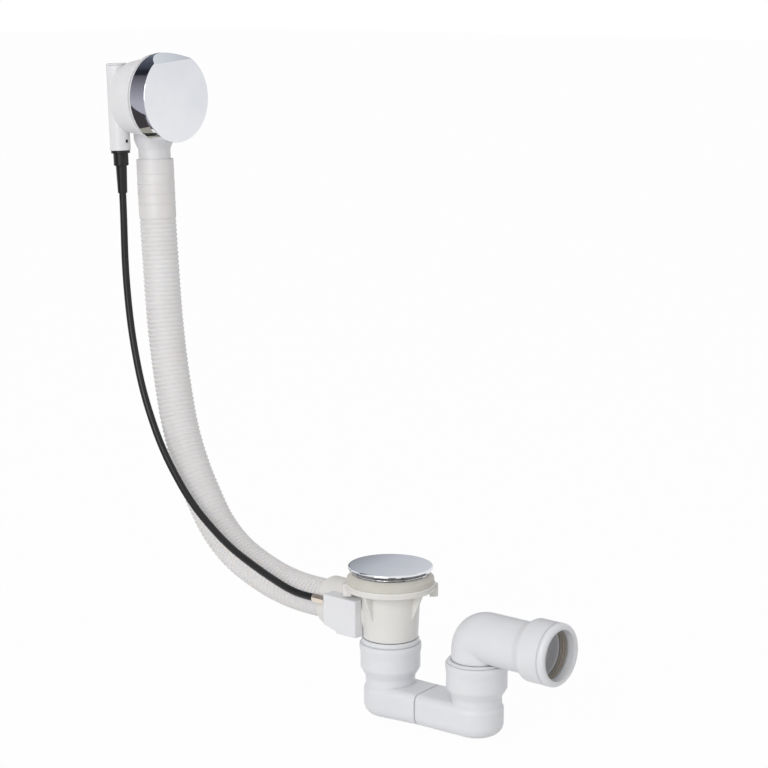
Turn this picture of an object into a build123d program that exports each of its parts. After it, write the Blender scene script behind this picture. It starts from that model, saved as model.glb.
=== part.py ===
from build123d import *
import os
from math import asin, atan, cos, degrees, pi, radians, sin, sqrt, tan

# Bath waste and overflow: a rotary knob on the overflow turns a pinion, the pinion pulls a rack and a
# cable, and the cable swings a crank that lifts the plug.  The waste runs into a swivelling trap.
# Millimetres.  Origin on the waste axis in the plane of the bath floor, +Z up, +X out of the bath wall.

# Gaps that the fits share
swivel_gap = 0.3
shaft_gap = 0.15
slide_gap = 0.3
seat_gap = 0.1

# Small shared shapes: a broken edge, a moulded corner, a wide blend, and how far a cut runs past its face
edge = 0.7
soft = 1.2
blend = 4.0
over = 1.0

# Waste pipe and its push-fit sockets
pipe_radius = 20.0
pipe_wall = 2.3
socket_wall = 2.2
seal_width = 2.1
seal_height = 4.2
bead_proud = 0.8
bead_height = 4.0
bead_fade = 5.0
collar_height = 4.0
collar_tongue = 0.8
socket_depth = 20.5
socket_taper = 8.5

# Plug
plug_radius = 34.9
plug_edge = 4.2
plug_crown = 0.8
plug_skin = 1.6
plug_rest_gap = 0.3
plug_skirt = 1.6
plug_lip = 1.5
plug_ring = 1.9
plug_step = 1.1
plug_tuck = 1.0
plug_lift = 10.5
plug_seal_radius = 28.0
plug_seal_thick = 1.6
plug_seal_lip = 1.0
plug_boss_radius = 6.5
stem_radius = 3.5
stem_length = 34.0
stem_collar_radius = 10.0
stem_collar_height = 1.6
stud_radius = 2.5
stud_length = 2.2
lift_screw_radius = 2.0
lift_screw_depth = 10.0
lift_screw_head = 3.2
lift_screw_foot = 0.8
lift_screw_rise = 2.0
lock_nut_height = 3.0
lock_nut_flats = 7.0

# Waste flange that is screwed down inside the bath
rim_radius = 31.4
rim_thick = 1.7
cup_radius = 19.6
cup_wall = 1.8
cup_depth = 14.0
spoke_count = 4
spoke_turn = 45.0
spoke_width = 2.4
spoke_height = 4.0
guide_wall = 2.0
guide_height = 8.0

# Seal and flange under the bath floor
bath_seal_thick = 8.2
bath_seal_radius = 35.6
bath_seal_top_radius = 32.0
bath_seal_slope = 3.2
body_flange_radius = 36.8
body_flange_thick = 5.2
lug_reach = 38.8
lug_width = 9.0
lug_drop = 6.0
lug_hole_radius = 1.3
lug_root = 5.0
lug_corner = 2.0
lug_top = 1.4
lug_turn = 40.0

# Waste body
body_radius = 22.6
body_wall = 2.4
body_length = 54.2
gusset_count = 4
gusset_reach = 32.4
gusset_height = 32.0
gusset_thick = 2.4
body_taper = 2.0
body_shoulder = 2.5
body_shoulder_slope = 0.5

# Hose socket on the side of the waste body
hose_axis_rise = 18.9
hose_socket_end = 64.0
hose_socket_wall = 2.3
hose_socket_depth = 22.0
hose_seal_height = 4.0
hose_seal_inset = 4.0
hose_seal_width = 1.6

# Corrugated overflow hose
hose_radius = 16.25
hose_groove = 1.0
hose_wall = 1.7
hose_pitch = 3.95
cuff_length = 51.0
cuff_ring_pitch = 8.85
cuff_ring_proud = 0.5
cuff_ring_half = 0.7
hose_end_cuff = 20.0

# Overflow head: place, lean and flange
knob_x = -237.0
knob_height = 375.0
wall_lean = 2.3
knob_radius = 38.0
knob_depth = 18.0
knob_skin = 2.0
knob_edge = 0.8
knob_gap = 0.6
knob_plate = 2.0
knob_rib_count = 6
knob_rib_thick = 1.6
knob_rib_height = 5.0
knob_hub_wall = 3.5
facet_height = 30.8
facet_depth = 14.5
facet_turn = 4.3
overflow_seal_thick = 2.8
overflow_flange_thick = 3.8
overflow_flange_radius = 37.0
flange_disc_radius = 32.0
flange_disc_thick = 3.0
flange_slot_count = 6
flange_slot_place = 19.0
flange_slot_length = 15.0
flange_slot_width = 8.0
overflow_screw_radius = 2.0
overflow_screw_head = 4.0
overflow_screw_top = 2.4
overflow_screw_slot = 1.0
overflow_screw_length = 22.0
overflow_screw_pitch = 21.0
overflow_boss_wall = 2.0
overflow_rib = 2.4
bowl_front_radius = 35.4
bowl_back_radius = 30.5
bowl_depth = 28.0
bowl_wall = 2.2
bowl_round = 4.0

# Knob drive: spindle, pinion and rack
spindle_radius = 5.0
spindle_square = 7.0
spindle_journal = 3.0
spindle_seal_thick = 2.0
sleeve_wall = 2.4
gear_module = 1.0
pinion_teeth = 12
pinion_face = 8.0
pressure_angle = 20.0
rack_addendum = 0.7
gear_backlash = 0.3
knob_swing = 70.0
rack_length = 30.0
rack_tube_depth = 62.0
rack_tube_radius = 8.85
rack_tube_wall = 1.55
rack_tube_top = 28.4
rack_tube_bottom = 44.8
tube_cap_thick = 1.6
tube_cap_plug = 3.0
gear_cover_thick = 2.2
chamber_wall = 2.6
chamber_gap = 1.0
window_size = 2.8
window_height = 7.9

# Hose spigot under the overflow bowl
spigot_depth = 51.2
spigot_side = 20.0
spigot_radius = 14.0
spigot_wall = 2.0
spigot_flare = 3.6
spigot_flare_top = 37.0
spigot_flare_low = 45.5
spigot_drop = 54.2
spigot_insert = 16.0

# Cable
sheath_radius = 3.1
sheath_bore = 1.5
wire_radius = 0.75
wire_gap = 0.4
stub_reach = 12.0
fitting_collar_radius = 8.2
fitting_collar_height = 2.4
fitting_sleeve_radius = 6.5
fitting_sleeve_length = 11.0
fitting_tail_radius = 4.8
fitting_tip_radius = 4.1
fitting_length = 37.0
fitting_plug_length = 12.0
ferrule_radius = 3.6
ferrule_length = 13.0
ferrule_stop = 4.0
cable_y = -24.3
cable_rise = 26.5

# Lever box and crank on the side of the waste body
box_front_y = -28.0
box_left_x = -49.0
box_right_x = -14.5
box_top_rise = 32.7
box_clear = 1.7
box_step_x = -35.0
box_step_rise = 3.2
box_slant_rise = 7.2
box_wall = 1.5
box_round = 1.0
crank_x = -24.0
crank_shaft_radius = 2.5
crank_hub_radius = 3.2
crank_arm_thick = 2.0
crank_pin_radius = 1.4
finger_tip_radius = 2.0
finger_width = 5.2
slider_height = 8.4
slider_length = 5.4
slider_thick = 3.0
slider_web = 1.2
finger_hub_wall = 1.1
crank_pin_wall = 0.9
crank_seal_section = 0.9

# Trap
trap_turn = 4.6
trap_reach = 84.4
trap_neck_radius = 20.4
trap_pan_radius = 21.9
trap_tube_half = 19.6
trap_top_z = -92.5
trap_bottom_z = -119.5
trap_top_round = 6.0
trap_bottom_round = 10.0
trap_seam = 37.0
trap_seam_gap = 0.5
trap_sleeve = 8.0
trap_wall = 2.4
riser_drop = 1.2
riser_collar_height = 2.0

# Outlet elbow
outlet_pipe_radius = 20.6
outlet_relief = 1.6
outlet_bend = 11.0
outlet_mouth = 81.5
outlet_coupling_radius = 25.2
outlet_coupling_length = 32.0
outlet_shoulder = 8.0
outlet_collar_length = 5.6
outlet_collar_round = 3.4
outlet_collar_tongue = 3.0
outlet_seal_length = 7.5
outlet_seal_lips = 3
outlet_stop = 2.0

# Heights on the side of the waste body, measured from its shoulder
hose_axis_drop = body_length - hose_axis_rise
cable_z = -body_length + cable_rise
box_top_z = -body_length + box_top_rise
box_step_z = -body_length + box_step_rise
box_slant_z = -body_length + box_slant_rise
box_bottom_z = -body_length + box_clear

# Routes of the hose and the cable, between the overflow head and the waste
hose_route = [(-271.6, 15.4, 160.0), (-246.0, 9.0, 66.0), (-191.0, 2.5, -9.0),
              (-118.0, 0.0, -hose_axis_drop)]
cable_route = [(-292.6, -12.0, 222.0), (-284.5, -14.2, 170.0), (-269.0, -16.6, 118.0),
               (-243.5, -19.0, 70.0), (-206.8, -21.2, 28.3), (-161.5, -23.2, -1.2),
               (-117.5, cable_y, -17.6), (-84.0, cable_y, cable_z)]


# Values that follow from the sizes above
socket_top_z = -body_length - collar_height - seat_gap - swivel_gap
socket_inner = pipe_radius + swivel_gap
socket_outer = socket_inner + seal_width + socket_wall
neck_top_z = socket_top_z - socket_depth - socket_taper
spigot_end_z = socket_top_z - socket_depth + over
collar_outer = socket_outer - bead_proud
pitch_radius = gear_module * pinion_teeth / 2
cable_travel = pitch_radius * radians(knob_swing)
finger_length = -crank_x
crank_half_swing = asin(plug_lift / 2 / finger_length)
crank_arm_length = cable_travel / 2 / sin(crank_half_swing)
crank_z = cable_z - crank_arm_length * (1 + cos(crank_half_swing)) / 2
finger_tip_z = crank_z - plug_lift / 2 + finger_tip_radius
plug_low_z = rim_thick + plug_rest_gap
plug_high_z = plug_low_z + plug_edge
plug_inner_z = plug_high_z + plug_crown - plug_skin
stem_top_z = plug_inner_z - plug_seal_thick
body_top_z = -bath_seal_thick
hose_socket_inner = hose_radius + slide_gap
hose_socket_outer = hose_socket_inner + hose_seal_width + hose_socket_wall
hose_bore = hose_radius - hose_groove - hose_wall
wall_front = knob_depth + knob_gap
wall_back = wall_front + overflow_seal_thick
bowl_start = wall_back + overflow_flange_thick
bowl_end = bowl_start + bowl_depth
sleeve_radius = spindle_radius + shaft_gap + sleeve_wall
rack_rod_radius = rack_tube_radius - rack_tube_wall - slide_gap
rack_axis_y = -(pitch_radius + rack_rod_radius * 0.6)
pinion_front = rack_tube_depth - pinion_face / 2
pinion_back = rack_tube_depth + pinion_face / 2
chamber_inner = pitch_radius + gear_module + chamber_gap
chamber_end = rack_tube_depth + rack_tube_radius + seat_gap
fitting_tip = rack_tube_bottom + fitting_length
sheath_top = rack_tube_bottom + fitting_collar_height + fitting_sleeve_length
cable_end_x = box_left_x - ferrule_stop
trap_sleeve_end = trap_seam + trap_seam_gap + trap_wall
elbow_seat_z = socket_top_z + seat_gap + riser_collar_height + swivel_gap
outlet_axis_z = elbow_seat_z + outlet_pipe_radius - outlet_relief
riser = Pos(trap_reach * cos(radians(trap_turn)), trap_reach * sin(radians(trap_turn)), -riser_drop)
trap_place = Rot(0, 0, trap_turn)
head_place = Pos(knob_x, 0, knob_height) * Rot(0, -wall_lean, 0)


def outline(points):
    """A closed outline through points; a third number in a point is the radius of its corner."""
    face = make_face(Polyline(*[point[:2] for point in points], close=True))
    for point in points:
        if len(point) == 3:
            corner = face.vertices().sort_by_distance(Vector(*point[:2]))[0]
            face = fillet(corner, point[2])
    return face


def turned(*points):
    """Turn an outline of (radius, height) points round Z."""
    return revolve(Plane.XZ * outline(points), Axis.Z)


def turned_back(*points):
    """Turn an outline of (depth behind the knob face, radius) points round the knob's axis."""
    return revolve(outline([(-point[0], *point[1:]) for point in points]), Axis.X)


def turned_out(*points):
    """Turn an outline of (reach along +X, radius) points round X."""
    return revolve(outline(points), Axis.X)


def upright(radius, low, high, x=0.0, y=0.0):
    """A round bar along Z between two heights."""
    return Pos(x, y, low) * extrude(Circle(radius), high - low)


def across(radius, low, high, x=0.0, z=0.0):
    """A round bar along Y between two places."""
    return Pos(x, low, z) * Rot(-90, 0, 0) * extrude(Circle(radius), high - low)


def lengthwise(radius, low, high, y=0.0, z=0.0):
    """A round bar along X between two places."""
    return Pos(low, y, z) * Rot(0, 90, 0) * extrude(Circle(radius), high - low)


def block(x0, x1, y0, y1, z0, z1):
    """A box between two corners."""
    return Pos((x0 + x1) / 2, (y0 + y1) / 2, (z0 + z1) / 2) * Box(x1 - x0, y1 - y0, z1 - z0)


def arm_profile(length, root_radius, tip_radius):
    """A flat lever, round at both ends, along local X."""
    root = Circle(root_radius)
    tip = Pos(length, 0) * Circle(tip_radius)
    return make_hull(root.edges() + tip.edges())


# Plug and the waste flange
def plug_cap():
    ring = plug_radius - plug_step
    side = ring - plug_skirt
    step_z = plug_low_z + plug_ring
    crown_z = plug_high_z + plug_crown
    dome = (plug_radius ** 2 + plug_crown ** 2) / (2 * plug_crown)
    half = asin(plug_radius / dome) / 2
    boss_z = stem_top_z + seat_gap
    bore = stud_radius + seat_gap / 2
    bore_z = stem_top_z + stud_length + seat_gap
    rounds = [((ring, plug_low_z), plug_tuck), ((ring, step_z), edge), ((plug_radius, step_z), edge / 2),
              ((plug_radius, plug_high_z), plug_lip)]
    with BuildPart() as cap:
        with BuildSketch(Plane.XZ) as profile:
            with BuildLine():
                Polyline((0, bore_z), (bore, bore_z), (bore, boss_z), (plug_boss_radius, boss_z),
                         (plug_boss_radius, plug_inner_z), (side, plug_high_z - plug_skin),
                         (side, plug_low_z), (ring, plug_low_z), (ring, step_z), (plug_radius, step_z),
                         (plug_radius, plug_high_z))
                ThreePointArc((plug_radius, plug_high_z),
                              (dome * sin(half), crown_z - dome * (1 - cos(half))), (0, crown_z))
                Line((0, crown_z), (0, bore_z))
            make_face()
            for corner, radius in rounds:
                fillet(profile.vertices().sort_by_distance(corner)[0], radius)
        revolve(axis=Axis.Z)
    return cap.part


def plug_seal():
    top = plug_high_z - plug_skin - seat_gap
    low = top - plug_seal_thick
    inner = plug_boss_radius + seat_gap
    return turned((inner, low), (plug_seal_radius - 3 * plug_seal_lip, low),
                  (plug_seal_radius - plug_seal_lip, low - plug_seal_lip), (plug_seal_radius, low),
                  (plug_seal_radius, top),
                  (inner, top))


def plug_stem():
    low = stem_top_z - stem_length
    shaft = upright(stem_radius, low, stem_top_z)
    collar_top = plug_high_z - plug_skin - plug_seal_thick - 2 * seat_gap
    collar = turned((0, collar_top - stem_collar_height),
                    (stem_collar_radius, collar_top - stem_collar_height),
                    (stem_collar_radius, collar_top), (0, collar_top))
    stud = upright(stud_radius, stem_top_z, stem_top_z + stud_length)
    bore = upright(lift_screw_radius + seat_gap / 2, low, low + lift_screw_depth + seat_gap)
    return shaft + collar + stud - bore


def lift_screw():
    low = finger_tip_z + slide_gap
    stem_low = stem_top_z - stem_length
    head_radius = lock_nut_flats / 2
    head = turned((0, low), (lift_screw_foot, low), (head_radius, low + lift_screw_rise),
                  (head_radius, low + lift_screw_head), (0, low + lift_screw_head))
    return head + upright(lift_screw_radius, low + lift_screw_head, stem_low + lift_screw_depth)


def stem_lock_nut():
    top = stem_top_z - stem_length - seat_gap
    hexagon = RegularPolygon(lock_nut_flats / 2, 6,
                             major_radius=False) - Circle(lift_screw_radius + seat_gap / 2)
    return Pos(0, 0, top - lock_nut_height) * extrude(hexagon, lock_nut_height)


def waste_flange():
    inner = cup_radius - cup_wall
    cup = turned((inner, -cup_depth), (cup_radius, -cup_depth), (cup_radius, 0), (rim_radius, 0),
                 (rim_radius, rim_thick, edge), (inner, rim_thick, soft))
    guide_bore = stem_radius + slide_gap
    guide = upright(guide_bore + guide_wall, -cup_depth, -cup_depth + guide_height)
    spoke = block(0, inner + cup_wall / 2, -spoke_width / 2, spoke_width / 2, -cup_depth,
                  -cup_depth + spoke_height)
    spokes = [Rot(0, 0, spoke_turn + 360 / spoke_count * k) * spoke for k in range(spoke_count)]
    return cup + guide + spokes - upright(guide_bore, -cup_depth - over, -cup_depth + guide_height + over)


def bath_seal():
    inner = cup_radius + 4 * seat_gap
    return turned((inner, body_top_z), (bath_seal_radius, body_top_z),
                  (bath_seal_radius, -bath_seal_slope - edge),
                  (bath_seal_radius - edge, -bath_seal_slope), (bath_seal_top_radius, 0), (inner, 0))


# Waste body with its hose socket
def waste_body():
    flange_low = body_top_z - body_flange_thick
    shoulder = -body_length
    foot = min(soft, (body_radius - pipe_radius) / 2)
    shell = turned((0, body_top_z), (body_flange_radius, body_top_z, edge),
                   (body_flange_radius, flange_low, soft),
                   (body_radius + body_taper, flange_low, blend), (body_radius, shoulder, foot),
                   (pipe_radius, shoulder), (pipe_radius, spigot_end_z, soft), (0, spigot_end_z))
    socket = lengthwise(hose_socket_outer, -hose_socket_end, 0, z=-hose_axis_drop)
    socket = chamfer(socket.edges().sort_by(Axis.X)[0], edge)
    socket -= upright(collar_outer + 2 * swivel_gap, shoulder - hose_socket_outer, shoulder)
    inside = body_radius - body_wall / 2
    gusset = make_face(Polyline((inside, flange_low + over), (gusset_reach, flange_low + over),
                                (gusset_reach, flange_low - gusset_thick),
                                (body_radius + gusset_thick / 2, flange_low - gusset_height * 0.7),
                                (inside, flange_low - gusset_height), close=True))
    gusset = extrude(Plane.XZ * gusset, gusset_thick / 2, both=True)
    gussets = [Rot(0, 0, 360 / gusset_count * k) * gusset for k in range(gusset_count)]
    lug_start = body_flange_radius - lug_root
    lug = block(lug_start, lug_reach, -lug_width / 2, lug_width / 2, flange_low - lug_drop,
                body_top_z - lug_top)
    lug = chamfer(lug.edges().filter_by(Axis.Z).sort_by(Axis.X)[-2:], lug_corner)
    lug_hole = lengthwise(lug_hole_radius, lug_start - over, lug_reach + over, z=flange_low - lug_drop / 2)
    lugs = [Rot(0, 0, lug_turn + 180 * k) * (lug - lug_hole) for k in range(2)]
    body = shell + socket + gussets + lugs
    chamber = body_radius - body_wall
    pipe_bore = pipe_radius - pipe_wall
    neck_low = shoulder - body_shoulder
    neck_high = neck_low + (chamber - pipe_bore) / body_shoulder_slope
    thread_low = -cup_depth - over
    thread = cup_radius + shaft_gap
    bore = turned((0, body_top_z + over), (thread, body_top_z + over), (thread, thread_low),
                  (chamber, thread_low - edge), (chamber, neck_high),
                  (pipe_bore, neck_low),
                  (pipe_bore, spigot_end_z - over), (0, spigot_end_z - over))
    stop_x = -hose_socket_end + hose_socket_depth
    groove_x = -hose_socket_end + hose_seal_inset
    side_bore = lengthwise(hose_bore, stop_x - over, 0, z=-hose_axis_drop)
    hose_seat = lengthwise(hose_socket_inner, -hose_socket_end - over, stop_x, z=-hose_axis_drop)
    groove = lengthwise(hose_socket_inner + hose_seal_width, groove_x, groove_x + hose_seal_height,
                        z=-hose_axis_drop)
    shaft_hole = across(crank_shaft_radius + shaft_gap, -hose_socket_outer, 0, crank_x, crank_z)
    seal_pocket = across(crank_shaft_radius + 2 * crank_seal_section + 2 * seat_gap, -hose_socket_outer,
                         crank_pocket_y(), crank_x, crank_z)
    return body - bore - side_bore - hose_seat - groove - shaft_hole - seal_pocket


def crank_pocket_y():
    """Depth of the pocket for the crank seal, measured from the outside of the hose socket."""
    side = sqrt(hose_socket_outer ** 2 - (crank_z + hose_axis_drop) ** 2)
    return -side + 2 * crank_seal_section + edge


def crank_seal():
    middle = crank_shaft_radius + shaft_gap + crank_seal_section
    ring = Pos(crank_x, crank_pocket_y() - crank_seal_section - seat_gap, crank_z) * Rot(90, 0, 0)
    return ring * Torus(middle, crank_seal_section)


def hose_seal():
    groove_x = -hose_socket_end + hose_seal_inset
    low = hose_radius + seat_gap
    high = hose_socket_inner + hose_seal_width - seat_gap
    ring = turned_out((groove_x + seat_gap, low), (groove_x + seat_gap, high),
                      (groove_x + hose_seal_height - seat_gap, high),
                      (groove_x + hose_seal_height - seat_gap, low))
    return Pos(0, 0, -hose_axis_drop) * ring


# Lever box, slider and crank
def box_outline(inset):
    left = box_left_x + inset
    right = box_right_x - inset
    return make_face(Polyline((left, box_top_z - inset), (right, box_top_z - inset),
                              (right, box_bottom_z + inset),
                              (box_step_x + inset, box_bottom_z + inset),
                              (box_step_x + inset, box_step_z + inset),
                              (left, box_slant_z + inset), close=True))


def box_layer(inset, front):
    """The box outline as a solid from its front face back to the waste axis."""
    return Pos(0, front, 0) * extrude(Plane.XZ * box_outline(inset), front)


def lever_box():
    shell = box_layer(0, box_front_y)
    front_edges = shell.faces().sort_by(Axis.Y)[0].edges()
    shell = fillet(front_edges, box_round)
    rails = []
    for side in (-1, 1):
        middle = cable_z + side * (slider_height / 2 + slide_gap + box_wall / 2)
        rails.append(block(box_left_x + box_wall, box_right_x - box_wall, box_front_y + box_wall,
                           box_front_y + box_wall + slider_thick * 0.8, middle - box_wall / 2,
                           middle + box_wall / 2))
    inside = box_layer(box_wall, box_front_y + box_wall)
    shell = shell - inside + rails
    socket = lengthwise(hose_socket_outer + seat_gap, -hose_socket_end - over, 0, z=-hose_axis_drop)
    top = body_radius + body_taper + seat_gap
    tube = turned((0, body_top_z), (top, body_top_z), (top, body_top_z - body_flange_thick),
                  (body_radius + seat_gap, -body_length), (0, -body_length))
    entry = lengthwise(wire_radius + wire_gap, box_left_x - over, box_left_x + box_wall + over, cable_y,
                       cable_z)
    lug_low = body_top_z - body_flange_thick - lug_drop - seat_gap
    lug_half = lug_width / 2 + seat_gap
    lug_room = block(body_radius, lug_reach + seat_gap, -lug_half, lug_half, lug_low, body_top_z)
    lug_room = Rot(0, 0, lug_turn + 180) * lug_room
    behind = block(box_left_x - over, 0, box_edge_y(), 0, box_bottom_z - over, box_top_z + over)
    return shell - socket - tube - entry - lug_room - behind


def box_edge_y():
    """How far back the side walls of the lever box reach towards the body."""
    return -hose_socket_outer * 0.55


def crank_arm():
    plate_back = -hose_socket_outer - 2 * seat_gap - slide_gap
    plate_front = plate_back - crank_arm_thick
    turn = 90 - degrees(crank_half_swing)
    plate = extrude(arm_profile(crank_arm_length, crank_hub_radius, crank_pin_radius + crank_pin_wall),
                    crank_arm_thick)
    plate = Pos(crank_x, plate_back, crank_z) * Rot(90, 0, 0) * Rot(0, 0, turn) * plate
    shaft = across(crank_shaft_radius, plate_front, finger_width / 2, crank_x, crank_z)
    pin_x = crank_x + crank_arm_length * sin(crank_half_swing)
    pin_z = crank_z + crank_arm_length * cos(crank_half_swing)
    pin = across(crank_pin_radius, plate_front - slider_thick, plate_front, pin_x, pin_z)
    return plate + shaft + pin


def lift_finger():
    profile = arm_profile(finger_length, crank_shaft_radius + finger_hub_wall, finger_tip_radius)
    profile = profile - Circle(crank_shaft_radius + seat_gap / 2)
    bar = extrude(profile, finger_width / 2, both=True)
    return Pos(crank_x, 0, crank_z) * Rot(90, 0, 0) * Rot(0, 0, -degrees(crank_half_swing)) * bar


def cable_slider():
    front = box_front_y + box_wall + slide_gap
    pin_x = crank_x + crank_arm_length * sin(crank_half_swing)
    head = block(pin_x - slider_length / 2, pin_x + slider_length / 2, front, front + slider_thick,
                 cable_z - slider_height / 2, cable_z + slider_height / 2)
    slot_half = crank_pin_radius + slide_gap
    slot = block(pin_x - slot_half, pin_x + slot_half, front - over, front + slider_thick + over,
                 cable_z - slider_height / 2 + slider_web, cable_z + slider_height / 2 - slider_web)
    stub = lengthwise(wire_radius, cable_end_x - stub_reach, pin_x - slot_half, cable_y, cable_z)
    return head + stub - slot


# Cable between the two ends
def rounded_route(points):
    """Straight runs joined by tangent arcs that are as large as the runs allow."""
    spots = [Vector(*p) for p in points]
    radii = []
    for before, here, after in zip(spots, spots[1:], spots[2:]):
        turn = (here - before).get_angle(after - here)
        shorter = min((here - before).length, (after - here).length)
        radii.append(0.45 * shorter / tan(radians(turn / 2)))
    return FilletPolyline(*spots, radius=radii)


def in_head(x, y, z):
    """A point of the overflow head in the object's frame."""
    return tuple((head_place * Pos(x, y, z)).position)


def cable_path():
    """The cable leaves the fitting in line with the rack tube and ends in line with the slider."""
    start = in_head(-rack_tube_depth, rack_axis_y, -sheath_top)
    straight = in_head(-rack_tube_depth, rack_axis_y, -fitting_tip - stub_reach)
    return rounded_route([start, straight] + cable_route + [(cable_end_x, cable_y, cable_z)])


def swept(path, section):
    """Sweep a flat section along a path, square to its start."""
    return sweep(Plane(path @ 0, z_dir=path % 0) * section, path=path)


def cable_sheath():
    return swept(cable_path(), Circle(sheath_radius) - Circle(sheath_bore))


def inner_wire():
    path = cable_path()
    near = (stub_reach + over) / path.length
    far = 1 - (stub_reach + cable_travel + over) / path.length
    return swept(path.trim(near, far), Circle(wire_radius))


def cable_ferrule():
    left = box_left_x - ferrule_length
    sheath = sheath_radius + seat_gap / 2
    ring = turned_out((left, sheath), (left, ferrule_radius), (box_left_x - seat_gap, ferrule_radius),
                      (box_left_x - seat_gap, wire_radius + wire_gap), (cable_end_x, wire_radius + wire_gap),
                      (cable_end_x, sheath))
    return Pos(0, cable_y, cable_z) * ring


def cable_fitting():
    plug_radius_in_tube = rack_tube_radius - rack_tube_wall - seat_gap
    plug_top = -rack_tube_bottom + fitting_plug_length
    collar_top = -rack_tube_bottom - seat_gap
    collar_low = collar_top - fitting_collar_height
    wire_bore = wire_radius + wire_gap
    sheath = sheath_radius + seat_gap / 2
    body = turned((wire_bore, plug_top), (plug_radius_in_tube, plug_top), (plug_radius_in_tube, collar_top),
                  (fitting_collar_radius, collar_top), (fitting_collar_radius, collar_low),
                  (fitting_sleeve_radius, collar_low), (fitting_sleeve_radius, -sheath_top + edge),
                  (fitting_sleeve_radius - edge, -sheath_top), (fitting_tail_radius, -sheath_top),
                  (fitting_tip_radius, -fitting_tip), (sheath, -fitting_tip), (sheath, -sheath_top),
                  (wire_bore, -sheath_top))
    half = window_size / 2 - seat_gap
    middle = -rack_tube_bottom + window_height
    tab = block(plug_radius_in_tube - over, rack_tube_radius - slide_gap, -half, half, middle - half,
                middle + half)
    return head_place * Pos(-rack_tube_depth, rack_axis_y, 0) * (body + tab)


# Corrugated hose
def hose_path():
    start = in_head(-spigot_depth, spigot_side, -spigot_drop)
    straight = in_head(-spigot_depth, spigot_side, -spigot_drop - cuff_length)
    end = (-hose_socket_end + hose_socket_depth - seat_gap, 0, -hose_axis_drop)
    return rounded_route([start, straight] + hose_route + [end])


def hose_stations(length):
    """Distance along the hose and outer radius there: ringed cuff, corrugations, plain end."""
    stations = [(0.0, hose_radius)]
    ring_count = int(cuff_length / cuff_ring_pitch) - 1
    first = (cuff_length - (ring_count - 1) * cuff_ring_pitch) / 2
    for k in range(ring_count):
        middle = first + k * cuff_ring_pitch
        stations += [(middle - cuff_ring_half, hose_radius), (middle, hose_radius + cuff_ring_proud),
                     (middle + cuff_ring_half, hose_radius)]
    corrugations = int((length - cuff_length - hose_end_cuff) / hose_pitch)
    pitch = (length - cuff_length - hose_end_cuff) / corrugations
    for k in range(corrugations):
        start = cuff_length + k * pitch
        stations += [(start, hose_radius), (start + pitch / 2, hose_radius - hose_groove)]
    return stations + [(length - hose_end_cuff, hose_radius), (length, hose_radius)]


def overflow_hose():
    path = hose_path()
    sections = []
    for distance, radius in hose_stations(path.length):
        here = distance / path.length
        sections.append(Plane(path @ here, z_dir=path % here) * Circle(radius))
    cuff_bore = spigot_radius + seat_gap
    cuff = path.trim(0, (spigot_insert + over) / path.length)
    return loft(sections, ruled=True) - swept(path, Circle(hose_bore)) - swept(cuff, Circle(cuff_bore))


# Overflow head, modelled with the knob's face at the origin and +X out of the wall
def facet_cut(inset):
    """Everything above the slanted facet, moved inwards by the inset."""
    slope = degrees(atan((knob_radius - facet_height) / facet_depth))
    wedge = Pos(0, 0, facet_height - inset / cos(radians(slope))) * Rot(0, slope, 0)
    above = Pos(0, 0, knob_radius / 2) * Box(4 * knob_radius, 4 * knob_radius, knob_radius)
    return Rot(facet_turn, 0, 0) * wedge * above


def knob_cap():
    outer = lengthwise(knob_radius, -knob_depth, 0)
    outer = fillet(outer.edges().sort_by(Axis.X)[-1], knob_edge)
    inner = lengthwise(knob_radius - knob_skin, -knob_depth - over, -knob_skin)
    return outer - facet_cut(0) - (inner - facet_cut(knob_skin))


def knob_insert():
    plate_radius = facet_height - 2 * knob_skin
    front = knob_skin + seat_gap
    hub_end = wall_front - flange_disc_thick - knob_plate
    hub_radius = spindle_radius + knob_hub_wall
    plate = turned_back((front, 0), (front, plate_radius), (front + knob_plate, plate_radius),
                        (front + knob_plate, 0))
    hub = turned_back((front, 0), (front, hub_radius), (hub_end, hub_radius - edge), (hub_end, 0))
    rib = block(-front - knob_rib_height, -front, 0, plate_radius - over, -knob_rib_thick / 2,
                knob_rib_thick / 2)
    ribs = [Rot(360 / knob_rib_count * k, 0, 0) * rib for k in range(knob_rib_count)]
    side = spindle_square + 2 * seat_gap
    socket = block(-hub_end - over, -front - knob_plate + seat_gap, -side / 2, side / 2, -side / 2,
                   side / 2)
    return plate + hub + ribs - socket


def involute_point(base, radius, offset):
    """A point on the involute of a base circle, turned by an offset angle."""
    roll = sqrt((radius / base) ** 2 - 1)
    angle = roll - atan(roll) + offset
    return radius * cos(angle), radius * sin(angle)


def pinion_profile():
    base = pitch_radius * cos(radians(pressure_angle))
    tip = pitch_radius + gear_module
    root = pitch_radius - 1.25 * gear_module
    thickness = pi * gear_module / 2 - gear_backlash / 2
    roll = tan(radians(pressure_angle))
    half = thickness / 2 / pitch_radius + roll - radians(pressure_angle)
    flank = [involute_point(base, base + (tip - base) * k / 4, -half) for k in range(5)]
    foot = (root * 0.9 * cos(half), -root * 0.9 * sin(half))
    lower = [foot] + flank
    upper = [(x, -y) for x, y in reversed(lower)]
    tooth = make_face(Polyline(*lower, *upper, close=True))
    turns = [360 / pinion_teeth * (k + 0.5) for k in range(pinion_teeth)]
    return Circle(root) + [Rot(0, 0, turn) * tooth for turn in turns]


def spindle():
    square_front = knob_skin + seat_gap + knob_plate
    square_back = wall_front - flange_disc_thick
    shaft = lengthwise(spindle_radius, -pinion_front, -square_back)
    square = block(-square_back, -square_front, -spindle_square / 2, spindle_square / 2,
                   -spindle_square / 2,
                   spindle_square / 2)
    pinion = Pos(-pinion_back, 0, 0) * extrude(Plane.YZ * pinion_profile(), pinion_face)
    journal = lengthwise(spindle_journal, -chamber_end - gear_cover_thick / 2, -pinion_back)
    return shaft + square + pinion + journal


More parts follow.
